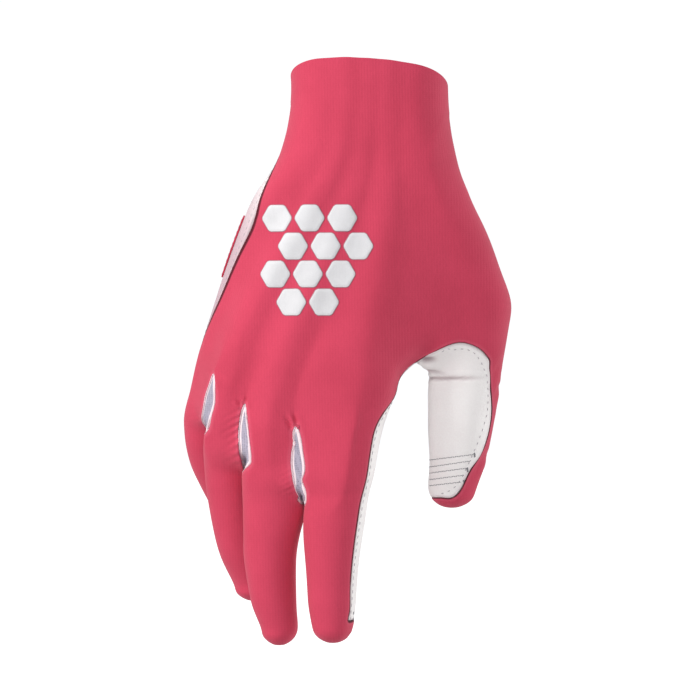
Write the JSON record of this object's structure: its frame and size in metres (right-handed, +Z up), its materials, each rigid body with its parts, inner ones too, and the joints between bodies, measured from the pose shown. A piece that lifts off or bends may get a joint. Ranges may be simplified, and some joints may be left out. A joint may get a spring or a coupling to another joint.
{
  "type": "motocross glove",
  "caption": "Full-finger slip-on motocross glove for the right hand, as worn: stretch knit back, leather palm and thumb, mesh finger gussets, open wrist.",
  "frame": {"origin": "the middle of the wrist opening, where the wrist goes in", "axes": "+Z up, out of the wrist opening and along the hand from the fingertips to the wrist; -Y out of the back of the hand; +X towards the thumb"},
  "size_m": [0.1391, 0.0792, 0.2471],
  "materials": {
    "red_knit": "ribbed stretch knit, matte",
    "white_leather": "fine grain, matte",
    "white_mesh": "open knitted mesh",
    "red_patch": "matte",
    "white_print": "raised print, matte",
    "sewing_thread": "twisted thread"
  },
  "bodies": {
    "root": {"back_panel": "red_knit", "wrist_panel": "red_knit", "palm_panel": "white_leather", "thumb_panel": "white_leather", "gusset_little_ring": "white_mesh", "gusset_ring_middle": "white_mesh", "gusset_middle_index": "white_mesh", "heel_patch": "red_patch"}
  },
  "joints": []
}
